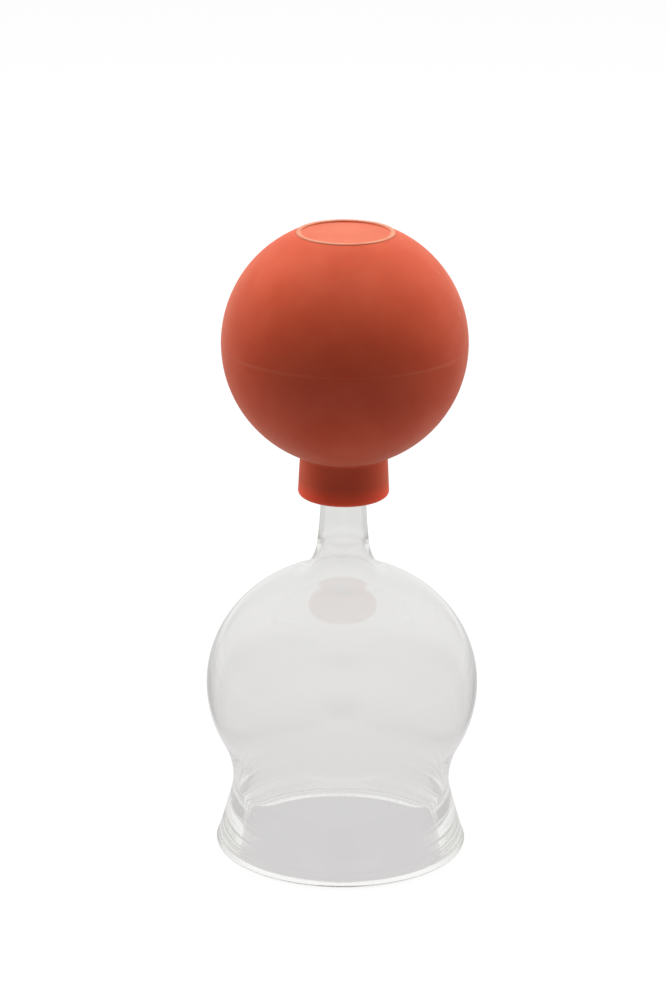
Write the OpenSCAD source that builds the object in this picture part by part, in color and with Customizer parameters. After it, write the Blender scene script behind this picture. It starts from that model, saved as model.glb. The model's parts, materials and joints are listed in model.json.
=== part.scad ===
// Cupping glass: a blown glass bell with a rubber suction ball pushed on its neck.
// The mouth stands on Z = 0 and every piece is round about the Z axis.

/* [Glass bell] */
// Outside diameter of the mouth, over its thick lip
rim_d = 50; // [48:0.5:60]
// Thickness of the blown wall
glass_wall = 0.8; // [0.7:0.1:2]
// Rounding of the lip's outer edge
lip_round = 0.6; // [0.4:0.1:1]
// How far the lip stands proud of the flare above it
lip_step = 0.25; // [0.1:0.05:0.35]
// Rounding of the lip's inner edge
mouth_edge = 0.6; // [0.3:0.1:0.8]
// Thickness of the lip, from the rim to the inner face of the mouth
lip_w = 3.4; // [2.6:0.05:4]
// Power of the inner flare, where 1 leaves it straight
mouth_power = 1.5; // [1:0.1:2.5]
// Outside diameter of the waist
waist_d = 43.3; // [38:0.1:45]
// Height of the waist above the mouth
waist_z = 13.5; // [9:0.1:18]
// Height over which the waist bends into the straight flare
flare_bend = 2.2; // [0.8:0.1:4]
// Height where the hollow of the waist turns into the swell of the bulge
turn_z = 22.2; // [19:0.1:28]
// Outside diameter of the bulge
bulge_d = 54; // [50:0.5:66]
// Height of the bulge above the mouth
bulge_z = 33.8; // [30:0.1:44]
// Height of the full dome above the bulge
dome_h = 24.8; // [18:0.1:34]

/* [Glass neck] */
// Outside diameter where the neck leaves the dome
neck_foot_d = 12; // [11:0.1:16]
// Outside diameter of the straight seat that the collar grips
neck_d = 9; // [8:0.1:10.5]
// Thickness of the drawn neck's wall at its seat
neck_wall = 0.5; // [0.4:0.1:1.6]
// Length of the neck that shows between dome and collar
neck_l = 15.35; // [10:0.05:25]
// Length of the seat, from the collar's foot to the fire-polished tip
seat_l = 11; // [9:0.1:16]
// Reach of the outside blend from dome to neck
shoulder_blend = 4.6; // [3.5:0.1:6]
// Reach of the inside blend from dome to neck
throat_blend = 5; // [3.5:0.1:5.5]

/* [Suction ball] */
// Outside diameter of the ball
ball_d = 48; // [40:0.5:60]
// Thickness of the rubber wall
ball_wall = 2; // [1.5:0.1:3.5]
// Outside diameter of the collar at its foot
collar_foot_d = 17.9; // [14:0.1:22]
// Outside diameter of the collar where it meets the ball
collar_top_d = 17.2; // [14:0.1:22]
// Height of the collar
collar_h = 8.4; // [6:0.1:12]
// Rounding of the collar's outer foot edge
collar_edge = 0.9; // [0.3:0.1:1.5]
// Lead-in at the mouth of the collar's socket
socket_lead = 0.4; // [0.2:0.1:1]
// Thickness of the bead that the mould leaves round the equator
seam_w = 0.7; // [0.4:0.1:1.5]
// How far that bead stands proud of the ball
seam_h = 0.06; // [0.05:0.01:0.2]

/* [Thumb disc] */
// Outside diameter of the disc, over its ring
disc_d = 19.2; // [14:0.1:26]
// Width of the raised ring
ring_w = 1; // [0.8:0.1:2.5]
// Power that squares off the ring's half-elliptic section, where 1 leaves it elliptic
ring_power = 0.6; // [0.3:0.05:1]
// How far the ring stands proud of the ball's edge round it
ring_rise = 0.25; // [0:0.05:0.8]
// Depth of the bare recess inside the ring
recess = 0.4; // [0.2:0.05:1]

/* [Fits] */
// Radial clearance between the collar's socket and the neck
neck_fit = 0.05; // [0.02:0.01:0.1]
// Radial clearance between the thumb disc and the ball
disc_fit = 0.05; // [0.02:0.01:0.1]

/* [Hidden] */
$fn = 96;
// Straight steps along each curved stretch of an outline
steps = 12;
// How far a cut runs past the face it opens
over = 1;

rim_r = rim_d / 2;
waist_r = waist_d / 2;
bulge_r = bulge_d / 2;
neck_foot_r = neck_foot_d / 2;
neck_r = neck_d / 2;
bore_r = neck_r - neck_wall;
ball_r = ball_d / 2;
cavity_r = ball_r - ball_wall;
// Radius of a slab that takes in the whole ball
slab_r = ball_d;
disc_r = disc_d / 2;

// The lip stands on a flat foot between two rounded edges
lip_mid = [rim_r - lip_round, lip_round];
lip_top_angle = acos(1 - lip_step / lip_round);

// The flare leaves the lip here
flare_z = lip_mid[1] + lip_round * sin(lip_top_angle);
flare_r = rim_r - lip_step;

// Inside, the wall flares less than outside, so that it grows into the thick lip
inner_waist_r = waist_r - glass_wall;
mouth_r = rim_r - lip_w;

// Two arcs that meet on a common tangent carry the wall from waist to bulge
rise_r = bulge_r - waist_r;
rise_z = bulge_z - waist_z;
both_arcs_r = (pow(rise_r, 2) + pow(rise_z, 2)) / (2 * rise_r);
hollow_r = both_arcs_r * (turn_z - waist_z) / rise_z;
swell_r = both_arcs_r - hollow_r;
arc_angle = asin(rise_z / both_arcs_r);

// Heights up the neck and the ball
shoulder_z = dome_top(0, neck_foot_r);
throat_r = neck_foot_r - glass_wall;
throat_z = dome_top(glass_wall, throat_r);
collar_z = shoulder_z + neck_l;
collar_top_z = collar_z + collar_h;
ball_z = collar_top_z + sqrt(pow(ball_r, 2) - pow(collar_top_d / 2, 2));
tip_r = neck_wall / 2;
tip_mid = [bore_r + tip_r, collar_z + seat_l - tip_r];
socket_r = neck_r + neck_fit;
seam_mid_r = ball_r + seam_h - seam_w / 2;
disc_under_z = ball_z + sqrt(pow(cavity_r, 2) - pow(disc_r, 2));
ring_top_z = ball_z + sqrt(pow(ball_r, 2) - pow(disc_r, 2)) + ring_rise;
disc_floor_z = ring_top_z - recess;

function reversed(points) = [for (i = [len(points) - 1 : -1 : 0]) points[i]];

// Arc about mid from one angle to another, ends included
function arc(mid, r, from, to) =
    [
        for (i = [0 : steps])
            let (a = from + (to - from) * i / steps)
            mid + r * [cos(a), sin(a)]
    ];

// Curve that leaves a towards b and reaches c from b, ends left out
function blend(a, b, c) =
    [
        for (i = [1 : steps - 1])
            let (t = i / steps)
            a * pow(1 - t, 2) + b * 2 * t * (1 - t) + c * pow(t, 2)
    ];

// Height of the dome, moved in by inset, at radius r
function dome_top(inset, r) = bulge_z + (dome_h - inset) * sqrt(1 - pow(r / (bulge_r - inset), 2));

// Hyperbola that starts level at the waist and runs on straight
function flare_out(drop) = sqrt(1 + pow(drop / flare_bend, 2)) - 1;

function flare() = [
    for (i = [1 : steps - 1])
        let (drop = (waist_z - flare_z) * (1 - i / steps))
        let (spread = flare_out(drop) / flare_out(waist_z - flare_z))
        [waist_r + (flare_r - waist_r) * spread, waist_z - drop]
];

// Inner flare from the waist down to the mouth's edge
function mouth() = [
    for (i = [1 : steps - 1])
        let (t = i / steps, widening = (mouth_r - inner_waist_r) * pow(t, mouth_power))
        [inner_waist_r + widening, waist_z - (waist_z - mouth_edge) * t]
];

function hollow(inset) = [
    for (i = [0 : steps - 1])
        let (a = arc_angle * i / steps)
        [waist_r - inset + hollow_r * (1 - cos(a)), waist_z + hollow_r * sin(a)]
];

function swell(inset) = [
    for (i = [0 : steps - 1])
        let (a = arc_angle * (1 - i / steps))
        [bulge_r - inset - swell_r * (1 - cos(a)), bulge_z - swell_r * sin(a)]
];

// Quarter ellipse from the bulge up to radius stop_r
function dome(inset, stop_r) = [
    for (i = [0 : 2 * steps])
        let (a = acos(stop_r / (bulge_r - inset)) * i / (2 * steps))
        [(bulge_r - inset) * cos(a), bulge_z + (dome_h - inset) * sin(a)]
];

// The wall from waist to dome, moved in by inset
function upper_wall(inset, stop_r) = concat(hollow(inset), swell(inset), dome(inset, stop_r));

// Parabola that narrows the neck up to its seat, moved in by one inset at its foot and another at its seat
function neck_at(foot_inset, seat_inset, z) =
    let (foot_r = neck_foot_r - foot_inset, seat_r = neck_r - seat_inset)
    [seat_r + (foot_r - seat_r) * pow((collar_z - z) / neck_l, 2), z];

function neck(foot_inset, seat_inset, foot_z) = [
    for (i = [0 : steps])
        neck_at(foot_inset, seat_inset, foot_z + (collar_z - foot_z) * i / steps)
];

// Bend from the dome into the neck, both moved in by foot_inset where they meet
function shoulder(foot_inset, seat_inset, reach) =
    let (foot_r = neck_foot_r - foot_inset)
    let (foot_z = dome_top(foot_inset, foot_r))
    blend(
        [foot_r + reach, dome_top(foot_inset, foot_r + reach)],
        [foot_r, foot_z],
        neck_at(foot_inset, seat_inset, foot_z + reach)
    );

module glass_cup() {
    color([0.86, 0.89, 0.88, 0.5])
        rotate_extrude()
            polygon(concat(
                arc(lip_mid, lip_round, -90, lip_top_angle),
                flare(),
                upper_wall(0, neck_foot_r + shoulder_blend),
                shoulder(0, 0, shoulder_blend),
                neck(0, 0, shoulder_z + shoulder_blend),
                arc(tip_mid, tip_r, 0, 180),
                reversed(neck(glass_wall, neck_wall, throat_z + throat_blend)),
                reversed(shoulder(glass_wall, neck_wall, throat_blend)),
                reversed(upper_wall(glass_wall, throat_r + throat_blend)),
                mouth(),
                arc([mouth_r + mouth_edge, mouth_edge], mouth_edge, 180, 270)
            ));
}

module bulb_collar() {
    edge_mid = [collar_foot_d / 2 - collar_edge, collar_z + collar_edge];
    rubber()
        rotate_extrude()
            polygon(concat(
                [[socket_r, collar_top_z], [socket_r, collar_z + socket_lead]],
                [[socket_r + socket_lead, collar_z]],
                arc(edge_mid, collar_edge, -90, 0),
                [[collar_top_d / 2, collar_top_z]]
            ));
}

module bulb_lower_shell() {
    rubber()
        difference() {
            intersection() {
                ball_skin();
                translate([0, 0, collar_top_z])
                    cylinder(r = slab_r, h = ball_z - collar_top_z);
            }
            translate([0, 0, collar_top_z - over])
                cylinder(r = socket_r, h = ball_z - collar_top_z);
        }
}

module bulb_upper_shell() {
    rubber()
        difference() {
            intersection() {
                ball_skin();
                translate([0, 0, ball_z])
                    cylinder(r = slab_r, h = ball_d);
            }
            translate([0, 0, ball_z + over])
                cylinder(r = disc_r + disc_fit, h = ball_d);
        }
}

module thumb_disc() {
    ring_mid_r = disc_r - ring_w / 2;
    ring = [
        for (i = [0 : steps])
            let (a = 180 * i / steps)
            let (across = sign(cos(a)) * pow(abs(cos(a)), ring_power))
            [ring_mid_r + ring_w / 2 * across, disc_floor_z + recess * pow(sin(a), ring_power)]
    ];
    rubber()
        rotate_extrude()
            polygon(concat([[0, disc_under_z], [disc_r, disc_under_z]], ring, [[0, disc_floor_z]]));
}

// Hollow ball with the bead of its mould seam
module ball_skin() {
    translate([0, 0, ball_z])
        difference() {
            union() {
                sphere(r = ball_r);
                rotate_extrude()
                    translate([seam_mid_r, 0])
                        circle(d = seam_w);
            }
            sphere(r = cavity_r);
        }
}

module rubber() {
    color([0.76, 0.3, 0.2])
        children();
}

glass_cup();
bulb_collar();
bulb_lower_shell();
bulb_upper_shell();
thumb_disc();
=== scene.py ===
"""Dresses the cupping glass: a clear blown bell and the matte rubber suction ball on its neck.

Every piece is a surface of revolution about the Z axis, worked out with numpy in metres in the frame of
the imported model, and stands for one solid there.
"""
import json
import logging
import math
from dataclasses import dataclass
from enum import Enum

import bpy
import numpy as np
from mathutils import Matrix, Vector


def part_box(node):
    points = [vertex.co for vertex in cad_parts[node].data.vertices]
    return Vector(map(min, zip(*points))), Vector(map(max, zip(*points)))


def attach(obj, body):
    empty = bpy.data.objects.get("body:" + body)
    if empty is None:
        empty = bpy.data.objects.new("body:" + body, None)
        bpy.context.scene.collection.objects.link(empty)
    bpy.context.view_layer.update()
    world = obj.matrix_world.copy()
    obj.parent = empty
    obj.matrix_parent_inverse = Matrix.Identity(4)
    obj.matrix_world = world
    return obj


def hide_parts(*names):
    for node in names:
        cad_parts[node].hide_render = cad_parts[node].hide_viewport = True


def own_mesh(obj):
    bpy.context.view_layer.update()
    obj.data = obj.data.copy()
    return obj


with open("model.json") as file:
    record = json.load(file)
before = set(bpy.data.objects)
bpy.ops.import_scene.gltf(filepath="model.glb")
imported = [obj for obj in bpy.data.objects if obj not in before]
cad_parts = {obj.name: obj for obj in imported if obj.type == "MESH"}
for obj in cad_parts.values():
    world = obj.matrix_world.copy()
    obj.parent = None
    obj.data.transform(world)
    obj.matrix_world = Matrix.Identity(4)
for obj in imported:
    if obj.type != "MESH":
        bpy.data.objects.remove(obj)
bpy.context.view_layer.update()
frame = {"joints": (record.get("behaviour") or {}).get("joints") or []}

Array = np.ndarray
Colour = tuple[float, float, float, float]
Pair = tuple[float, float]
Place = tuple[float, float, float]
Slope = tuple[Pair, Pair]
Socket = bpy.types.NodeSocket
Tree = bpy.types.NodeTree

LOG = logging.getLogger("cupping_glass")
MM = 0.001
# Mark for painted highlights, painted reflection and painted light on shaded walls, with some wear.
LIGHT_AND_WEAR_MARK = "painted_light_and_wear_mark"
# Mark for painted glow: light through thin rubber and light on shaded walls.
PAINTED_GLOW_MARK = "painted_glow_mark"
WHITE: Colour = (1.0, 1.0, 1.0, 1.0)
SAME_POINT = 1e-7
ON_AXIS = 1e-9
SHARP_EDGE = math.radians(40)


class Body(Enum):
    """The bodies that move against each other."""

    CUP = "cup"
    BULB = "bulb"
    THUMB_PAD = "thumb_pad"


class Slot(Enum):
    """The two materials that the object is made of."""

    GLASS = "clear_glass"
    RUBBER = "red_rubber"


class Node(Enum):
    """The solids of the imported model."""

    GLASS_CUP = "glass_cup"
    COLLAR = "bulb_collar"
    LOWER_SHELL = "bulb_lower_shell"
    UPPER_SHELL = "bulb_upper_shell"
    THUMB_DISC = "thumb_disc"


# Profiles: rows of (radius, height) points


def arc(mid: Pair, radius: float, start: float, stop: float, count: int) -> Array:
    """Points at even angles on a circle.

    Args:
        mid: Centre of the circle as (radius, height).
        radius: Radius of the circle.
        start: First angle, in degrees from the outward direction.
        stop: Last angle.
        count: Number of points, ends included.

    Returns:
        The points, one (radius, height) row each.
    """
    turn = np.radians(np.linspace(start, stop, count))
    return np.column_stack([mid[0] + radius * np.cos(turn), mid[1] + radius * np.sin(turn)])


def bend(a: Pair, b: Pair, c: Pair, count: int) -> Array:
    """Quadratic curve that leaves a towards b and reaches c from b.

    Args:
        a: First point.
        b: Corner that the curve rounds off.
        c: Last point.
        count: Number of points, ends included.

    Returns:
        The points (1 - t)^2 a + 2 t (1 - t) b + t^2 c for even steps of t.
    """
    t = np.linspace(0.0, 1.0, count)[:, None]
    return (1 - t) ** 2 * np.asarray(a) + 2 * t * (1 - t) * np.asarray(b) + t**2 * np.asarray(c)


def straight(a: Pair, b: Pair, count: int) -> Array:
    """Even points on the straight line from a to b."""
    t = np.linspace(0.0, 1.0, count)[:, None]
    return (1 - t) * np.asarray(a) + t * np.asarray(b)


def joined(*stretches: Array) -> Array:
    """Strings stretches of a profile together and drops points that repeat.

    Args:
        *stretches: The stretches in order, each starting where the last one ends.

    Returns:
        One profile.
    """
    points = np.vstack(stretches)
    step = np.linalg.norm(np.diff(points, axis=0), axis=1)
    return points[np.concatenate([[True], step > SAME_POINT])]


def ease(x: Array, low: float, high: float) -> Array:
    """Smooth step that is 0 below low and 1 above high."""
    t = np.clip((x - low) / (high - low), 0.0, 1.0)
    return t * t * (3 - 2 * t)


# Meshes


def around(segments: int) -> Array:
    """Even angles round the axis, as one row."""
    return np.linspace(0.0, 2 * math.pi, segments, endpoint=False)[None, :]


def turned(profile: Array, segments: int, swell: Array | float = 0.0) -> Array:
    """Carries a profile round the Z axis.

    The point (r, z) of the profile and the angle a give ((r + s) cos a, (r + s) sin a, z), where s is the
    swell at that point and angle.

    Args:
        profile: Rows of (radius, height).
        segments: Number of even angles.
        swell: Change of radius, one number or an array of rows by segments.

    Returns:
        Points in an array of rows by segments by 3.
    """
    angle = around(segments)
    radius = np.repeat(profile[:, :1], segments, axis=1) + swell
    height = np.repeat(profile[:, 1:], segments, axis=1)
    return np.stack([radius * np.cos(angle), radius * np.sin(angle), height], axis=-1)


def link(name: str, data: bpy.types.ID) -> bpy.types.Object:
    """Makes an object of some data in the scene.

    Args:
        name: Name of the object.
        data: Its mesh, lamp or camera.

    Returns:
        The object, linked to the scene.
    """
    thing = bpy.data.objects.new(name, data)
    bpy.context.scene.collection.objects.link(thing)
    return thing


def closed_faces(grid: Array, loop: bool) -> tuple[Array, Array, Array]:
    """Makes the faces of a closed surface from a grid that wraps along its second parameter.

    A first or last row that lies on the axis becomes one pole vertex with a fan of triangles.

    Args:
        grid: Points in an array of rows by segments by 3.
        loop: Whether the last row joins the first one.

    Returns:
        Vertex places, quads as four vertex numbers a row and fans as three, all facing outwards.
    """
    rows, segments = grid.shape[:2]
    number = np.arange(rows * segments).reshape(rows, segments)
    on_axis = np.linalg.norm(grid[..., :2], axis=-1).max(axis=1) < ON_AXIS
    number[on_axis] = number[on_axis][:, :1]
    below = number if loop else number[:-1]
    above = np.roll(number, -1, axis=0) if loop else number[1:]
    corners = np.stack([below, np.roll(below, -1, 1), np.roll(above, -1, 1), above], axis=-1).reshape(-1, 4)
    foot_pole = corners[:, 0] == corners[:, 1]
    head_pole = corners[:, 2] == corners[:, 3]
    quads = corners[~(foot_pole | head_pole)]
    fans = np.vstack([corners[foot_pole][:, [0, 2, 3]], corners[head_pole][:, [0, 1, 2]]])
    used, renumbered = np.unique(np.concatenate([quads.ravel(), fans.ravel()]), return_inverse=True)
    points = grid.reshape(-1, 3)[used]
    quads, fans = renumbered[: quads.size].reshape(-1, 4), renumbered[quads.size :].reshape(-1, 3)
    if signed_volume(points, quads, fans) < 0:
        quads, fans = quads[:, ::-1], fans[:, ::-1]
    return points, quads, fans


def mesh_piece(name: str, grid: Array, loop: bool) -> bpy.types.Object:
    """Makes a closed mesh object from a grid that wraps along its second parameter.

    Args:
        name: Name of the piece.
        grid: Points in an array of rows by segments by 3.
        loop: Whether the last row joins the first one.

    Returns:
        The object, linked to the scene, smooth apart from its sharp edges.
    """
    points, quads, fans = closed_faces(grid, loop)
    corners = np.concatenate([quads.ravel(), fans.ravel()]).astype(np.int32)
    totals = np.concatenate([np.full(len(quads), 4), np.full(len(fans), 3)]).astype(np.int32)
    starts = np.concatenate([[0], np.cumsum(totals)[:-1]]).astype(np.int32)
    mesh = bpy.data.meshes.new(name)
    mesh.vertices.add(len(points))
    mesh.vertices.foreach_set("co", points.astype(np.float32).ravel())
    mesh.loops.add(len(corners))
    mesh.loops.foreach_set("vertex_index", corners)
    mesh.polygons.add(len(totals))
    mesh.polygons.foreach_set("loop_start", starts)
    mesh.polygons.foreach_set("use_smooth", np.ones(len(totals), dtype=bool))
    mesh.update(calc_edges=True)
    mesh.validate()
    mesh.set_sharp_from_angle(angle=SHARP_EDGE)
    return link(name, mesh)


def signed_volume(points: Array, quads: Array, fans: Array) -> float:
    """Volume inside a closed mesh, below zero where its faces point inwards.

    Args:
        points: Vertex places.
        quads: Four vertex numbers a row.
        fans: Three vertex numbers a row.

    Returns:
        The sum of the signed volumes of the tetrahedra from the origin to each triangle.
    """
    triangles = points[np.vstack([quads[:, [0, 1, 2]], quads[:, [0, 2, 3]], fans])]
    return float(np.einsum("ij,ij->", triangles[:, 0], np.cross(triangles[:, 1], triangles[:, 2])) / 6)


# Material nodes


def add_node(tree: Tree, kind: str, inputs: dict | None = None, **settings: object) -> bpy.types.Node:
    """Adds a node, sets it up and joins its inputs.

    Args:
        tree: Node tree to add to.
        kind: Blender's name of the node type.
        inputs: Input name or number to a socket to link, or to a plain value.
        **settings: Properties of the node itself.

    Returns:
        The new node.
    """
    node = tree.nodes.new(kind)
    for key, value in settings.items():
        setattr(node, key, value)
    for key, value in (inputs or {}).items():
        if isinstance(value, bpy.types.NodeSocket):
            tree.links.new(value, node.inputs[key])
        else:
            node.inputs[key].default_value = value
    return node


def calc(tree: Tree, operation: str, a: Socket | float, b: Socket | float) -> Socket:
    """Adds a Math node on two sockets or numbers and returns its result."""
    return add_node(tree, "ShaderNodeMath", {0: a, 1: b}, operation=operation).outputs[0]


def product(tree: Tree, first: Socket, *others: Socket | float) -> Socket:
    """Multiplies sockets and numbers.

    Args:
        tree: Node tree to add to.
        first: Socket to start from.
        *others: What it is multiplied by, in order.

    Returns:
        The product.
    """
    result = first
    for factor in others:
        result = calc(tree, "MULTIPLY", result, factor)
    return result


def ramp(tree: Tree, value: Socket, slope: Slope) -> Socket:
    """Adds a smooth ramp.

    Args:
        tree: Node tree to add to.
        value: What the ramp reads.
        slope: Value where it starts and what it gives there, then the same for where it ends.

    Returns:
        The ramp's result.
    """
    start, stop = slope
    node = add_node(
        tree,
        "ShaderNodeMapRange",
        {"Value": value, "From Min": start[0], "From Max": stop[0], "To Min": start[1], "To Max": stop[1]},
        interpolation_type="SMOOTHSTEP",
    )
    return node.outputs["Result"]


def mixed(tree: Tree, factor: Socket, a: Socket | Colour, b: Socket | Colour) -> Socket:
    """Adds a colour mix and returns its result.

    Args:
        tree: Node tree to add to.
        factor: Share of b.
        a: Colour at factor 0.
        b: Colour at factor 1.

    Returns:
        The mixed colour.
    """
    node = add_node(tree, "ShaderNodeMix", {"Factor": factor, 6: a, 7: b}, data_type="RGBA")
    return node.outputs[2]


def noise(tree: Tree, place: Socket, scale: float, detail: float) -> Socket:
    """Adds a noise over a place and returns its level."""
    node = add_node(tree, "ShaderNodeTexNoise", {"Vector": place, "Scale": scale, "Detail": detail})
    return node.outputs["Fac"]


def own_mark(tree: Tree, name: str) -> Socket:
    """Reads a mark that the mesh stores on its vertices."""
    return add_node(tree, "ShaderNodeAttribute", attribute_name=name).outputs["Fac"]


def empty_material(name: str) -> tuple[bpy.types.Material, Tree]:
    """Makes a node material with nothing in it.

    Args:
        name: Name of the material.

    Returns:
        The material and its node tree.
    """
    material = bpy.data.materials.new(name)
    material.use_nodes = True
    material.node_tree.nodes.clear()
    return material, material.node_tree


@dataclass(frozen=True)
class BlownGlass:
    """Clear soda glass that turns faintly olive where it is thick."""

    name: str = "blown_glass"
    tint: Colour = (0.985, 0.985, 0.98, 1.0)
    roughness: float = 0.0
    ior: float = 1.5
    depth_colour: Colour = (0.80, 0.80, 0.75, 1.0)
    depth_density: float = 20.0

    def material(self) -> bpy.types.Material:
        """Builds the material.

        Returns:
            A smooth transmissive Principled surface round an absorbing volume.
        """
        material, tree = empty_material(self.name)
        surface = add_node(
            tree,
            "ShaderNodeBsdfPrincipled",
            {
                "Base Color": self.tint,
                "Roughness": self.roughness,
                "IOR": self.ior,
                "Transmission Weight": 1.0,
            },
        )
        volume = add_node(
            tree,
            "ShaderNodeVolumeAbsorption",
            {"Color": self.depth_colour, "Density": self.depth_density},
        )
        add_node(
            tree,
            "ShaderNodeOutputMaterial",
            {"Surface": surface.outputs["BSDF"], "Volume": volume.outputs["Volume"]},
        )
        return material


@dataclass(frozen=True)
class MouldedRubber:
    """Matte orange-red rubber with a faint mottle, small light specks and a fine moulded grain."""

    name: str
    colour: Colour = (0.585, 0.071, 0.029, 1.0)
    mottle: Colour = (0.635, 0.087, 0.038, 1.0)
    # Lighter colour for specks and wear, and for painted highlights, painted reflection and painted light.
    dust_and_highlight: Colour = (0.68, 0.345, 0.225, 1.0)
    # Glowing red for painted light through thin rubber and on the shaded walls of the ring.
    painted_glow: Colour = (0.96, 0.087, 0.035, 1.0)
    roughness: float = 0.62
    smoother: float = 0.06
    shine: float = 0.15
    sheen: float = 0.22
    sheen_roughness: float = 0.4
    sheen_tint: Colour = (1.0, 0.78, 0.58, 1.0)
    cloud_scale: float = 110.0
    cloud_detail: float = 5.0
    cloud_span: Pair = (0.3, 0.7)
    patch_scale: float = 260.0
    patch_detail: float = 2.0
    patch_slope: Slope = ((0.38, 0.8), (0.58, 1.0))
    speck_scale: float = 130.0
    speck_slope: Slope = ((0.03, 0.30), (0.06, 0.0))
    grain_scale: float = 2600.0
    grain_detail: float = 3.0
    grain_strength: float = 0.10
    grain_height: float = 0.1 * MM

    def material(self) -> bpy.types.Material:
        """Builds the material.

        The colour wanders with a cloudy noise, which also makes the rubber a little smoother. It glows red
        where the mesh's glow mark paints light through thin rubber and light on shaded walls. It turns
        lighter where another mark paints highlights, reflection and light, together with some wear, broken
        up by a finer noise, and at small specks. A fine noise lifts the grain.

        Returns:
            A Principled surface with a mottled colour and a fine bump.
        """
        material, tree = empty_material(self.name)
        place = add_node(tree, "ShaderNodeTexCoord").outputs["Object"]
        cloud = noise(tree, place, self.cloud_scale, self.cloud_detail)
        patch = noise(tree, place, self.patch_scale, self.patch_detail)
        grain = noise(tree, place, self.grain_scale, self.grain_detail)
        speck = add_node(tree, "ShaderNodeTexVoronoi", {"Vector": place, "Scale": self.speck_scale})
        low, high = self.cloud_span
        clouded = ramp(tree, cloud, ((low, 0.0), (high, 1.0)))
        rough = ramp(tree, cloud, ((low, self.roughness), (high, self.roughness - self.smoother)))
        # Painted highlights, painted reflection and painted light on shaded walls, with some wear, from the
        # mesh's mark.
        pale_and_light = product(tree, own_mark(tree, LIGHT_AND_WEAR_MARK), ramp(tree, patch, self.patch_slope))
        paled = calc(tree, "MAXIMUM", pale_and_light, ramp(tree, speck.outputs["Distance"], self.speck_slope))
        ground = mixed(tree, clouded, self.colour, self.mottle)
        # Painted glow: light through the collar's thin foot and lifted shade on the ring's walls.
        with_glow = mixed(tree, own_mark(tree, PAINTED_GLOW_MARK), ground, self.painted_glow)
        bump = add_node(
            tree,
            "ShaderNodeBump",
            {"Height": grain, "Strength": self.grain_strength, "Distance": self.grain_height},
        )
        surface = add_node(
            tree,
            "ShaderNodeBsdfPrincipled",
            {
                "Base Color": mixed(tree, paled, with_glow, self.dust_and_highlight),
                "Roughness": rough,
                "Specular IOR Level": self.shine,
                "Sheen Weight": self.sheen,
                "Sheen Roughness": self.sheen_roughness,
                "Sheen Tint": self.sheen_tint,
                "Normal": bump.outputs["Normal"],
            },
        )
        add_node(tree, "ShaderNodeOutputMaterial", {"Surface": surface.outputs["BSDF"]})
        return material


# The pieces of the object


def dress(piece: bpy.types.Object, finish: bpy.types.Material, body: Body, node: Node) -> None:
    """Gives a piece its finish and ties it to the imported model.

    Args:
        piece: The finished mesh object.
        finish: Its material.
        body: Body that it moves with.
        node: Solid that it stands for.
    """
    piece.data.materials.append(finish)
    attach(piece, body.value)
    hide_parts(node.value)
    LOG.info("%s: %d faces on body %s", piece.name, len(piece.data.polygons), body.value)


def places(piece: bpy.types.Object) -> Array:
    """Reads the places of a piece's vertices.

    Args:
        piece: The mesh object.

    Returns:
        One row a vertex.
    """
    points = np.empty(3 * len(piece.data.vertices), dtype=np.float32)
    piece.data.vertices.foreach_get("co", points)
    return points.reshape(-1, 3)


def mark(piece: bpy.types.Object, name: str, share: Array) -> None:
    """Stores a mark from 0 to 1 on each vertex, for the rubber to read."""
    layer = piece.data.attributes.new(name, "FLOAT", "POINT")
    layer.data.foreach_set("value", share.astype(np.float32))


@dataclass(frozen=True)
class ToolRings:
    """Rings that the blower's tool left round the waist and the flare."""

    depth: float = 0.008 * MM
    long_pitch: float = 3.3 * MM
    long_sway: float = 0.7
    long_phase: float = 0.4
    long_share: float = 0.6
    short_pitch: float = 1.9 * MM
    short_sway: float = 1.1
    short_phase: float = 1.0
    unevenness: float = 0.25
    uneven_phase: float = -0.6
    foot_fade: Pair = (1.5 * MM, 4 * MM)
    head_fade: Pair = (14 * MM, 21 * MM)

    def swell(self, profile: Array, segments: int) -> Array:
        """Works out how far the rings stand out.

        Two sine waves up the height, whose phase sways with the angle, are summed, made uneven round the
        axis and faded out at the foot and above the waist.

        Args:
            profile: Rows of (radius, height).
            segments: Number of even angles.

        Returns:
            Change of radius, rows by segments.
        """
        z = profile[:, 1:]
        angle = around(segments)
        long_sway = self.long_sway * np.sin(angle + self.long_phase)
        short_sway = self.short_sway * np.sin(2 * angle + self.short_phase)
        long_wave = np.sin(2 * math.pi * z / self.long_pitch + long_sway)
        short_wave = np.sin(2 * math.pi * z / self.short_pitch + short_sway)
        waves = self.long_share * long_wave + (1 - self.long_share) * short_wave
        uneven = 1 - self.unevenness + self.unevenness * np.sin(angle + self.uneven_phase)
        return self.depth * ease(z, *self.foot_fade) * (1 - ease(z, *self.head_fade)) * waves * uneven


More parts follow.
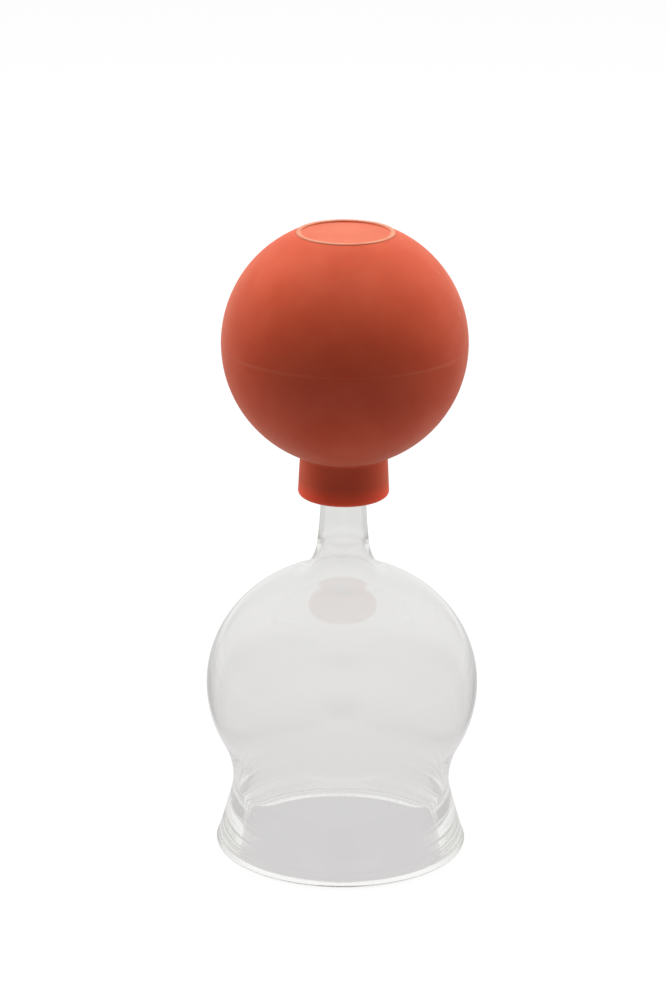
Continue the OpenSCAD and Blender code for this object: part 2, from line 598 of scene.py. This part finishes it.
@dataclass
class GlassBell:
    """The blown bell from its thick fire-polished lip to the tip of its neck."""

    rim_r: float = 25 * MM
    wall: float = 0.8 * MM
    lip_round: float = 0.6 * MM
    lip_step: float = 0.25 * MM
    mouth_edge: float = 0.6 * MM
    lip_w: float = 3.4 * MM
    mouth_power: float = 1.5
    waist_r: float = 21.65 * MM
    waist_z: float = 13.5 * MM
    flare_bend: float = 2.2 * MM
    turn_z: float = 22.2 * MM
    bulge_r: float = 27 * MM
    bulge_z: float = 33.8 * MM
    dome_h: float = 24.8 * MM
    neck_foot_r: float = 6 * MM
    neck_r: float = 4.5 * MM
    neck_wall: float = 0.5 * MM
    neck_l: float = 15.35 * MM
    seat_l: float = 11 * MM
    shoulder_blend: float = 4.6 * MM
    throat_blend: float = 5 * MM
    weld_z: float = 63.5 * MM
    weld_w: float = 1.1 * MM
    weld_h: float = 0.15 * MM
    rings: ToolRings = ToolRings()
    segments: int = 312
    lip_points: int = 16
    flare_points: int = 34
    arc_points: int = 16
    dome_points: int = 40
    blend_points: int = 14
    neck_points: int = 24
    neck_crowding: float = 1.5
    tip_points: int = 9
    edge_points: int = 10
    flat_points: int = 5

    def __post_init__(self) -> None:
        """Works out the heights up the neck."""
        self.shoulder_z = self.dome_top(0, self.neck_foot_r)
        self.collar_z = self.shoulder_z + self.neck_l

    def dome_top(self, inset: float, radius: float) -> float:
        """Height of the dome's ellipse, moved in by inset, at a radius."""
        return self.bulge_z + (self.dome_h - inset) * math.sqrt(1 - (radius / (self.bulge_r - inset)) ** 2)

    def upper_side(self, inset: float, stop_r: float) -> Array:
        """The wall from the waist to the dome, moved in by inset.

        Two arcs on a common tangent run from the waist to the bulge, and a quarter ellipse from the bulge
        to the neck.

        Args:
            inset: How far the profile lies inside the outer face.
            stop_r: Radius where the dome ends.

        Returns:
            The profile from the waist upwards.
        """
        rise_r, rise_z = self.bulge_r - self.waist_r, self.bulge_z - self.waist_z
        both = (rise_r**2 + rise_z**2) / (2 * rise_r)
        hollow_r = both * (self.turn_z - self.waist_z) / rise_z
        angle = math.degrees(math.asin(rise_z / both))
        hollow_mid = (self.waist_r - inset + hollow_r, self.waist_z)
        hollow = arc(hollow_mid, hollow_r, 180, 180 - angle, self.arc_points)
        swell_r = both - hollow_r
        swell = arc((self.bulge_r - inset - swell_r, self.bulge_z), swell_r, -angle, 0, self.arc_points)
        turn = np.linspace(0.0, math.acos(stop_r / (self.bulge_r - inset)), self.dome_points)
        dome = np.column_stack([
            (self.bulge_r - inset) * np.cos(turn),
            self.bulge_z + (self.dome_h - inset) * np.sin(turn),
        ])
        return joined(hollow, swell, dome)

    def neck_side(self, wall_inset: float, neck_inset: float, blend: float) -> Array:
        """The bend out of the dome and the neck up to its seat, moved in.

        The neck narrows as a parabola that ends level at the seat, and its wall thins on the way up.

        Args:
            wall_inset: How far the dome and the neck's foot are moved in.
            neck_inset: How far the neck's seat is moved in.
            blend: Reach of the bend along the dome and up the neck.

        Returns:
            The profile from the dome upwards.
        """
        foot_r = self.neck_foot_r - wall_inset
        seat_r = self.neck_r - neck_inset
        foot_z = self.dome_top(wall_inset, foot_r)
        share = np.linspace(0.0, 1.0, self.neck_points) ** self.neck_crowding
        height = foot_z + blend + (self.collar_z - foot_z - blend) * share
        narrowing = ((self.collar_z - height) / self.neck_l) ** 2
        neck = np.column_stack([seat_r + (foot_r - seat_r) * narrowing, height])
        start = (foot_r + blend, self.dome_top(wall_inset, foot_r + blend))
        return joined(bend(start, (foot_r, foot_z), neck[0], self.blend_points), neck)

    def outside(self) -> Array:
        """Outline from the foot of the lip up the outer face and over the neck's tip.

        The lip is rounded by an arc and the flare is a hyperbola that ends level at the waist.

        Returns:
            The profile from the foot to the top of the bore.
        """
        lip_mid = (self.rim_r - self.lip_round, self.lip_round)
        top = math.degrees(math.acos(1 - self.lip_step / self.lip_round))
        lip = arc(lip_mid, self.lip_round, -90, top, self.lip_points)
        drop = np.linspace(self.waist_z - lip[-1, 1], 0.0, self.flare_points)
        spread = np.sqrt(1 + (drop / self.flare_bend) ** 2) - 1
        flare = np.column_stack([
            self.waist_r + (lip[-1, 0] - self.waist_r) * spread / spread[0],
            self.waist_z - drop,
        ])
        dome = self.upper_side(0, self.neck_foot_r + self.shoulder_blend)
        tip_r = self.neck_wall / 2
        tip_mid = (self.neck_r - tip_r, self.collar_z + self.seat_l - tip_r)
        tip = arc(tip_mid, tip_r, 0, 180, self.tip_points)
        return joined(lip, flare, dome, self.neck_side(0, 0, self.shoulder_blend), tip)

    def inside(self) -> Array:
        """Outline down the bore and the inner face to the flat that the lip stands on.

        A low bell-shaped ridge runs round inside the neck, where it was drawn out of the dome. Below the
        waist the inner face flares out by a power of the drop, less than the outer face, so that the wall
        grows into the thick lip.

        Returns:
            The profile from the bore to the outer edge of the flat.
        """
        throat_r = self.neck_foot_r - self.wall
        neck = self.neck_side(self.wall, self.neck_wall, self.throat_blend)
        neck[:, 0] -= self.weld_h * np.exp(-(((neck[:, 1] - self.weld_z) / self.weld_w) ** 2))
        drop = np.linspace(0.0, 1.0, self.flare_points)
        inner_waist_r = self.waist_r - self.wall
        mouth_r = self.rim_r - self.lip_w
        flare = np.column_stack([
            inner_waist_r + (mouth_r - inner_waist_r) * drop**self.mouth_power,
            self.waist_z - (self.waist_z - self.mouth_edge) * drop,
        ])
        edge_r = mouth_r + self.mouth_edge
        edge = arc((edge_r, self.mouth_edge), self.mouth_edge, 180, 270, self.edge_points)
        return joined(
            neck[::-1],
            self.upper_side(self.wall, throat_r + self.throat_blend)[::-1],
            flare,
            edge,
            straight(edge[-1], (self.rim_r - self.lip_round, 0.0), self.flat_points)[:-1],
        )

    def build(self, finish: BlownGlass) -> None:
        """Makes the glass and dresses it.

        Args:
            finish: The glass that it is blown from.
        """
        profile = np.vstack([self.outside(), self.inside()])
        grid = turned(profile, self.segments, self.rings.swell(profile, self.segments))
        bell = mesh_piece("glass_bell", grid, loop=True)
        dress(bell, finish.material(), Body.CUP, Node.GLASS_CUP)


@dataclass
class SuctionBall:
    """The rubber ball: collar, two half shells that meet on the mould seam, and the thumb disc."""

    ball_r: float = 24 * MM
    wall: float = 2 * MM
    collar_foot_r: float = 8.95 * MM
    collar_top_r: float = 8.6 * MM
    collar_edge: float = 0.9 * MM
    root_fillet: float = 0.56 * MM
    root_tuck: float = 0.8 * MM
    socket_r: float = 4.55 * MM
    socket_lead: float = 0.4 * MM
    seam_w: float = 0.7 * MM
    seam_h: float = 0.03 * MM
    disc_r: float = 9.6 * MM
    disc_gap: float = 0.05 * MM
    ring_w: float = 1 * MM
    ring_power: float = 0.6
    recess: float = 0.4 * MM
    # Painted glow on the collar's foot: full up to glow_full above the foot, gone by glow_end.
    glow_full: float = 0.6 * MM
    glow_end: float = 4 * MM
    # Painted highlight on the collar's lower edge, where light from below catches it.
    foot_highlight: float = 0.09
    foot_fade: float = 1.35 * MM
    side_pale: float = 0.0315
    # Painted highlight on the top, painted reflection of the floor underneath, painted highlight on the
    # seam.
    top_highlight: float = 0.105
    under_reflection: float = 0.09
    under_start: float = 12 * MM
    seam_highlight: float = 0.5
    seam_fade: float = 0.28 * MM
    # Disc: dust and painted reflection; ring: wear and painted highlight; walls: painted light over their
    # shade.
    disc_dust_and_reflection: float = 0.25
    ring_wear_and_highlight: float = 0.50
    ring_margin: float = 0.01 * MM
    crest_start: float = 0.08 * MM
    crest_full: float = 0.38 * MM
    wall_painted_light: float = 0.6
    wall_painted_glow: float = 0.5
    segments: int = 192
    socket_points: int = 8
    edge_points: int = 14
    side_points: int = 24
    fillet_points: int = 10
    skin_points: int = 130
    skin_crowding: float = 1.5
    inner_points: int = 60
    under_points: int = 12
    wall_points: int = 6
    ring_points: int = 37
    floor_points: int = 24

    def __post_init__(self) -> None:
        """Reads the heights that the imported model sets."""
        self.collar_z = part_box(Node.COLLAR.value)[0].z
        self.collar_top_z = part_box(Node.COLLAR.value)[1].z
        self.ball_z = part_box(Node.UPPER_SHELL.value)[0].z
        self.ring_top_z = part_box(Node.THUMB_DISC.value)[1].z
        self.disc_under_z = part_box(Node.THUMB_DISC.value)[0].z
        press = next(j for j in frame["joints"] if j["name"] == "bulb_press")
        self.travel = press["range_m"][1]

    def collar(self) -> Array:
        """Outline of the collar, with a fillet at its root under the ball.

        The outline runs down the socket and its lead-in, round the foot's edge, up the straight side and
        along a quadratic curve on to the ball.

        Returns:
            The profile from the top of the socket round to its top inside the ball.
        """
        socket_top = (self.socket_r, self.collar_top_z)
        socket_foot = (self.socket_r, self.collar_z + self.socket_lead)
        edge_mid = (self.collar_foot_r - self.collar_edge, self.collar_z + self.collar_edge)
        root = self.collar_top_r + self.root_fillet
        on_ball = (root, self.ball_z - math.sqrt(self.ball_r**2 - root**2))
        corner = (self.collar_top_r, self.collar_top_z)
        below = (self.collar_top_r, self.collar_top_z - self.root_fillet)
        return joined(
            straight(socket_top, socket_foot, self.socket_points),
            np.array([[self.socket_r + self.socket_lead, self.collar_z]]),
            arc(edge_mid, self.collar_edge, -90, 0, self.edge_points),
            straight((self.collar_foot_r, edge_mid[1]), below, self.side_points),
            bend(below, corner, on_ball, self.fillet_points),
            np.array([[self.collar_top_r - self.root_tuck, self.collar_top_z]]),
        )

    def skin(self, start: float, stop: float) -> Array:
        """Outer face of the ball with the bead of the mould seam.

        The radius in the direction of an angle above the equator is the ball's, or the bead's where that
        stands further out: the bead is a round of its own width, set in so that it stands proud by its
        height.

        Args:
            start: First angle in degrees.
            stop: Last angle.

        Returns:
            The profile, with closer points beside the equator.
        """
        angle = np.radians(np.linspace(start, stop, self.skin_points))
        widest = np.abs(angle).max()
        crowded = np.sign(angle) * widest * (np.abs(angle) / widest) ** self.skin_crowding
        bead_r = self.seam_w / 2
        rise = np.sqrt(np.clip(bead_r**2 - (self.ball_r * np.sin(crowded)) ** 2, 0.0, None))
        bead = (self.ball_r + self.seam_h - bead_r + rise) / np.cos(crowded)
        radius = np.where(rise > 0, np.maximum(self.ball_r, bead), self.ball_r)
        return np.column_stack([radius * np.cos(crowded), self.ball_z + radius * np.sin(crowded)])

    def lower_half(self) -> Array:
        """Outline of the shell below the mould seam.

        Returns:
            The profile up the skin from the collar to the seam and down the inner arc to the socket.
        """
        inner_r = self.ball_r - self.wall
        foot = -math.degrees(math.acos(self.collar_top_r / self.ball_r))
        inner_foot = -math.degrees(math.acos(self.socket_r / inner_r))
        return joined(
            self.skin(foot, 0),
            arc((0.0, self.ball_z), inner_r, 0, inner_foot, self.inner_points),
            np.array([[self.socket_r, self.collar_top_z]]),
        )

    def upper_half(self) -> Array:
        """Outline of the shell above the mould seam.

        Returns:
            The profile up the skin from the seam to the disc's hole and down the inner arc.
        """
        hole_r = self.disc_r + self.disc_gap
        inner_r = self.ball_r - self.wall
        head = math.degrees(math.acos(hole_r / self.ball_r))
        inner_head = math.degrees(math.acos(hole_r / inner_r))
        return joined(
            self.skin(0, head),
            arc((0.0, self.ball_z), inner_r, inner_head, 0, self.inner_points),
        )

    def thumb_disc(self) -> Array:
        """Outline of the disc from the axis underneath to the axis on top.

        The ring is half of a squared-off ellipse, whose cosine and sine are raised to a power below 1.

        Returns:
            The profile.
        """
        floor_z = self.ring_top_z - self.recess
        turn = np.radians(np.linspace(0, 180, self.ring_points))
        across = np.sign(np.cos(turn)) * np.abs(np.cos(turn)) ** self.ring_power
        ring = np.column_stack([
            self.disc_r - self.ring_w / 2 + self.ring_w / 2 * across,
            floor_z + self.recess * np.sin(turn) ** self.ring_power,
        ])
        under_edge = (self.disc_r, self.disc_under_z)
        return joined(
            straight((0.0, self.disc_under_z), under_edge, self.under_points),
            straight(under_edge, ring[0], self.wall_points),
            ring,
            straight(ring[-1], (0.0, floor_z), self.floor_points),
        )

    def mark_foot(self, collar: bpy.types.Object) -> None:
        """Marks a painted glow on the collar's foot, where light comes through its edge, a painted
        highlight on its lower edge, and its sides a little paler.

        Args:
            collar: The collar.
        """
        above = places(collar)[:, 2] - self.collar_z
        side = ease(above, 0.0, self.foot_fade)
        # Painted glow on the foot, painted highlight on its lower edge.
        mark(collar, PAINTED_GLOW_MARK, 1 - ease(above, self.glow_full, self.glow_end))
        mark(collar, LIGHT_AND_WEAR_MARK, self.foot_highlight * (1 - side) + self.side_pale * side)

    def mark_half(self, half: bpy.types.Object) -> None:
        """Marks painted light on a half shell.

        A painted highlight grows up from the equator, and a painted reflection of the floor grows again
        towards the collar. A painted highlight along the mould seam is a bell curve of the height, and
        s (1 - s) times as strong, where s is the square of X over the ball's radius.

        Args:
            half: One of the two half shells.
        """
        points = places(half)
        above = points[:, 2] - self.ball_z
        # Painted highlight on the top and painted reflection of the floor underneath.
        pale_and_light = self.top_highlight * ease(above, 0.0, self.ball_r)
        pale_and_light += self.under_reflection * ease(-above, self.under_start, self.ball_r)
        beside = (points[:, 0] / self.ball_r) ** 2
        # Painted highlight along the mould seam, strongest partway out to the left and right.
        seam = self.seam_highlight * beside * (1 - beside) * np.exp(-((above / self.seam_fade) ** 2))
        mark(half, LIGHT_AND_WEAR_MARK, pale_and_light + seam)

    def mark_ring(self, disc: bpy.types.Object) -> None:
        """Marks the disc paler with dust and painted reflection, its ring paler up to the crest with wear
        and a painted highlight, and the walls below the crest with painted light and glow over their shade.

        Args:
            disc: The thumb disc.
        """
        points = places(disc)
        above = points[:, 2] - self.ring_top_z + self.recess
        crest = ease(above, self.crest_start, self.crest_full)
        wall = np.hypot(points[:, 0], points[:, 1]) > self.disc_r - self.ring_w - self.ring_margin
        # Painted light lifts the shade on the ring's walls; the crest gets wear and a painted highlight.
        mark(disc, LIGHT_AND_WEAR_MARK, self.disc_dust_and_reflection + self.ring_wear_and_highlight * np.maximum(crest, self.wall_painted_light * wall))
        mark(disc, PAINTED_GLOW_MARK, self.wall_painted_glow * wall * (1 - crest))

    def build(self, finish: MouldedRubber) -> None:
        """Makes the four zones of the ball and dresses them.

        Args:
            finish: The rubber that the ball is moulded from.
        """
        rubber = finish.material()
        collar = mesh_piece("rubber_collar", turned(self.collar(), self.segments), loop=True)
        self.mark_foot(collar)
        dress(collar, rubber, Body.BULB, Node.COLLAR)
        for name, outline, node in (
            ("rubber_lower_half", self.lower_half(), Node.LOWER_SHELL),
            ("rubber_upper_half", self.upper_half(), Node.UPPER_SHELL),
        ):
            half = mesh_piece(name, turned(outline, self.segments), loop=True)
            self.mark_half(half)
            dress(half, rubber, Body.BULB, node)
            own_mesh(half)
        disc = mesh_piece("rubber_thumb_disc", turned(self.thumb_disc(), self.segments), loop=False)
        self.mark_ring(disc)
        dress(disc, rubber, Body.THUMB_PAD, Node.THUMB_DISC)


# The studio


def first_look(tree: Tree) -> tuple[Socket, Socket]:
    """Tells rays that show the surround from rays that only light the object.

    Args:
        tree: Node tree to add to.

    Returns:
        1 for camera rays, and 1 for rays that glass or gloss sends on before any matte surface.
    """
    path = add_node(tree, "ShaderNodeLightPath")
    sent_on = calc(tree, "MAXIMUM", path.outputs["Is Transmission Ray"], path.outputs["Is Glossy Ray"])
    fresh = calc(tree, "LESS_THAN", path.outputs["Diffuse Depth"], 1.0)
    return path.outputs["Is Camera Ray"], product(tree, sent_on, fresh)


@dataclass(frozen=True)
class PhotoCamera:
    """The camera of the photograph, with its place in metres and its angles in degrees."""

    back: float = 0.700
    up: float = 0.30886
    pitch: float = 18.694
    yaw: float = 0.16
    roll: float = 0.45
    lens: float = 135.5
    sensor: float = 36.0
    clip_start: float = 0.01
    clip_end: float = 100.0

    def build(self) -> None:
        """Places the camera: turned left a little, tipped down by the pitch and rolled on its axis."""
        data = bpy.data.cameras.new("camera")
        data.lens = self.lens
        data.sensor_width = self.sensor
        data.clip_start = self.clip_start
        data.clip_end = self.clip_end
        camera = link("camera", data)
        camera.matrix_world = (
            Matrix.Translation((0.0, -self.back, self.up))
            @ Matrix.Rotation(math.radians(self.yaw), 4, "Z")
            @ Matrix.Rotation(math.radians(90 - self.pitch), 4, "X")
            @ Matrix.Rotation(math.radians(self.roll), 4, "Z")
        )
        bpy.context.scene.camera = camera


@dataclass(frozen=True)
class PaperFloor:
    """White paper just under the rim, which keeps a soft shadow and shows greys through the glass, which
    carry painted shadow and painted light.

    Each slope names what it reads: the distance from the middle of the mouth, the way aside (X without
    its sign) or the way back (Y), in metres.
    """

    half: float = 3.0
    drop: float = 0.1 * MM
    seen_level: float = 0.94
    shadow: float = 0.10
    # Painted bounce light: a fixed glow, brightest near the middle, for rays that only light the object.
    painted_bounce_by_distance: Slope = ((0.03, 0.72), (0.30, 0.48))
    near_tint: Colour = (1.0, 0.982, 0.99, 1.0)
    far_tint: Colour = (1.0, 0.993, 0.982, 1.0)
    tint_by_distance: Slope = ((0.04, 0.0), (0.14, 1.0))
    grey_by_distance: Slope = ((0.02, 0.648), (0.045, 0.632))
    rise_by_distance: Slope = ((0.10, 1.0), (0.14, 1.085))
    fall_by_distance: Slope = ((0.15, 1.0), (0.19, 0.945))
    # Painted shadow to the sides, then a painted shadow ring at the flanks.
    shadow_by_aside: Slope = ((0.038, 1.0), (0.058, 0.60))
    lift_by_aside: Slope = ((0.065, 0.0), (0.10, 0.10))
    clear_by_distance: Slope = ((0.12, 0.66), (0.21, 1.0))
    flank_in_by_distance: Slope = ((0.165, 0.0), (0.185, 1.0))
    flank_out_by_distance: Slope = ((0.21, 0.0), (0.24, 1.0))
    flank_shadow_by_aside: Slope = ((0.045, 0.0), (0.06, 0.2))
    far_by_back: Slope = ((0.20, 1.0), (0.45, 1.26))
    front_by_back: Slope = ((-0.0265, 0.95), (-0.0235, 0.0))
    front_by_distance: Slope = ((0.028, 1.0), (0.038, 0.0))

    def through_glass(self, tree: Tree, place: Socket, distance: Socket) -> Socket:
        """Works out the level that rays sent on by the glass see.

        A grey that changes with the distance is dimmed to the sides as painted shadow, until the far paper
        clears it. A ring at the flanks is darker as painted shadow, the far paper behind is lighter, and a
        strip close in front of the lip is lighter as painted light where the lip's shade would fall.

        Args:
            tree: Node tree to add to.
            place: Place on the floor.
            distance: Distance from the middle of the mouth.

        Returns:
            The level.
        """
        split = add_node(tree, "ShaderNodeSeparateXYZ", {0: place})
        aside = calc(tree, "ABSOLUTE", split.outputs["X"], 0.0)
        back = split.outputs["Y"]
        grey = product(
            tree,
            ramp(tree, distance, self.grey_by_distance),
            ramp(tree, distance, self.rise_by_distance),
            ramp(tree, distance, self.fall_by_distance),
        )
        # Painted shadow to the sides of the object.
        side_shadow = ramp(tree, aside, self.shadow_by_aside)
        side_shadow = calc(tree, "ADD", side_shadow, ramp(tree, aside, self.lift_by_aside))
        cleared = calc(tree, "MAXIMUM", side_shadow, ramp(tree, distance, self.clear_by_distance))
        # Painted shadow in a ring at the flanks.
        flank_in = ramp(tree, distance, self.flank_in_by_distance)
        flank_ring = calc(tree, "SUBTRACT", flank_in, ramp(tree, distance, self.flank_out_by_distance))
        flank = product(tree, flank_ring, ramp(tree, aside, self.flank_shadow_by_aside))
        beside_flank = calc(tree, "SUBTRACT", 1.0, flank)
        level = product(tree, grey, cleared, beside_flank, ramp(tree, back, self.far_by_back))
        # Painted light on a strip close in front of the lip.
        front = ramp(tree, back, self.front_by_back)
        strip = product(tree, front, ramp(tree, distance, self.front_by_distance))
        return calc(tree, "MAXIMUM", level, strip)

    def material(self) -> bpy.types.Material:
        """Builds the paper.

        Camera rays see it nearly white, rays through the glass see greys, and other rays get a fixed glow
        that fades with the distance, a painted pool of bounced light in place of a real bounce.

        Returns:
            A glowing surface with a faint matte one added, which holds the shadow.
        """
        material, tree = empty_material("floor_paper")
        place = add_node(tree, "ShaderNodeTexCoord").outputs["Object"]
        distance = add_node(tree, "ShaderNodeVectorMath", {0: place}, operation="LENGTH").outputs["Value"]
        seen, sent_on = first_look(tree)
        shown = calc(tree, "MAXIMUM", seen, sent_on)
        hidden = calc(tree, "SUBTRACT", 1.0, shown)
        through = product(tree, sent_on, self.through_glass(tree, place, distance))
        glow = calc(tree, "ADD", product(tree, seen, self.seen_level), through)
        # Painted bounce light for rays that only light the object.
        glow = calc(tree, "ADD", glow, product(tree, hidden, ramp(tree, distance, self.painted_bounce_by_distance)))
        paper = mixed(tree, ramp(tree, distance, self.tint_by_distance), self.near_tint, self.far_tint)
        tint = mixed(tree, sent_on, WHITE, paper)
        white = add_node(tree, "ShaderNodeEmission", {"Color": tint, "Strength": glow})
        matte = add_node(tree, "ShaderNodeBsdfDiffuse", {"Color": product(tree, shown, self.shadow)})
        both = add_node(tree, "ShaderNodeAddShader", {0: white.outputs[0], 1: matte.outputs[0]})
        add_node(tree, "ShaderNodeOutputMaterial", {"Surface": both.outputs[0]})
        return material

    def build(self) -> None:
        """Lays the square of paper."""
        corners = np.array([[-1, -1, 0], [1, -1, 0], [1, 1, 0], [-1, 1, 0]]) * self.half
        corners[:, 2] = -self.drop
        mesh = bpy.data.meshes.new("floor")
        mesh.from_pydata(corners.tolist(), [], [(0, 1, 2, 3)])
        mesh.materials.append(self.material())
        link("floor", mesh)


@dataclass(frozen=True)
class Surround:
    """White background that lights the object only softly and is darker behind the camera.

    Each slope names the part of a ray's direction that it reads: the way back (Y), the way up (Z) or the
    way aside (X without its sign).
    """

    depth_by_back: Slope = ((-0.3, 0.0), (0.6, 1.0))
    grey_by_back: Slope = ((-0.9, 0.70), (0.7, 0.84))
    white_by_up: Slope = ((0.0, 0.0), (0.6, 1.0))
    dark_by_aside: Slope = ((0.05, 0.6), (0.45, 1.0))
    fill: float = 0.46

    def build(self) -> None:
        """Sets the background: white to the camera, grey low down to the glass, and soft fill light."""
        world = bpy.data.worlds.new("surround")
        bpy.context.scene.world = world
        world.use_nodes = True
        tree = world.node_tree
        tree.nodes.clear()
        direction = add_node(tree, "ShaderNodeTexCoord").outputs["Generated"]
        split = add_node(tree, "ShaderNodeSeparateXYZ", {0: direction})
        back = split.outputs["Y"]
        aside = calc(tree, "ABSOLUTE", split.outputs["X"], 0.0)
        depth = ramp(tree, back, self.depth_by_back)
        stand = calc(tree, "MAXIMUM", ramp(tree, aside, self.dark_by_aside), depth)
        low = product(tree, ramp(tree, back, self.grey_by_back), stand)
        height = ramp(tree, split.outputs["Z"], self.white_by_up)
        level = add_node(tree, "ShaderNodeMix", {0: height, 2: low, 3: 1.0}).outputs[0]
        seen, sent_on = first_look(tree)
        shown = calc(tree, "MAXIMUM", seen, product(tree, sent_on, level))
        strength = calc(tree, "MAXIMUM", shown, product(tree, depth, self.fill))
        light = add_node(tree, "ShaderNodeBackground", {"Color": WHITE, "Strength": strength})
        add_node(tree, "ShaderNodeOutputWorld", {"Surface": light.outputs[0]})


@dataclass(frozen=True)
class SoftLamp:
    """Soft rectangular lamp that the glass doesn't mirror, in metres and watts."""

    name: str
    place: Place
    aim: Place
    size: Pair
    power: float

    def build(self) -> None:
        """Hangs the lamp at its place, facing its aim."""
        data = bpy.data.lights.new(self.name, "AREA")
        data.shape = "RECTANGLE"
        data.size, data.size_y = self.size
        data.energy = self.power
        lamp = link(self.name, data)
        towards = Vector(self.aim) - Vector(self.place)
        turn = towards.to_track_quat("-Z", "Y").to_matrix().to_4x4()
        lamp.matrix_world = Matrix.Translation(self.place) @ turn
        lamp.visible_camera = False
        lamp.visible_glossy = False
        lamp.visible_transmission = False


@dataclass(frozen=True)
class Studio:
    """Camera, pale floor, white surround and soft lamps."""

    camera: PhotoCamera = PhotoCamera()
    floor: PaperFloor = PaperFloor()
    surround: Surround = Surround()
    lamps: tuple[SoftLamp, ...] = (
        SoftLamp("top_lamp", (0.0, 0.04, 0.75), (0.0, 0.0, 0.1), (0.5, 0.5), 5.2),
        SoftLamp("left_lamp", (-0.6, 0.25, 0.25), (0.0, 0.0, 0.08), (0.35, 0.5), 2.4),
        SoftLamp("right_lamp", (0.6, 0.25, 0.25), (0.0, 0.0, 0.08), (0.35, 0.5), 2.2),
    )
    bounces: int = 200

    def build(self) -> None:
        """Sets up the studio, with enough bounces for light to cross the glass many times."""
        for thing in (self.camera, self.floor, self.surround, *self.lamps):
            thing.build()
        scene = bpy.context.scene
        scene.view_settings.view_transform = "Standard"
        scene.cycles.max_bounces = self.bounces
        scene.cycles.glossy_bounces = self.bounces
        scene.cycles.transmission_bounces = self.bounces


def main() -> None:
    """Builds the studio and the object."""
    logging.basicConfig(level=logging.INFO, format="%(name)s %(message)s")
    Studio().build()
    GlassBell().build(BlownGlass())
    SuctionBall().build(MouldedRubber("ball_rubber"))


if __name__ == "__main__":
    main()
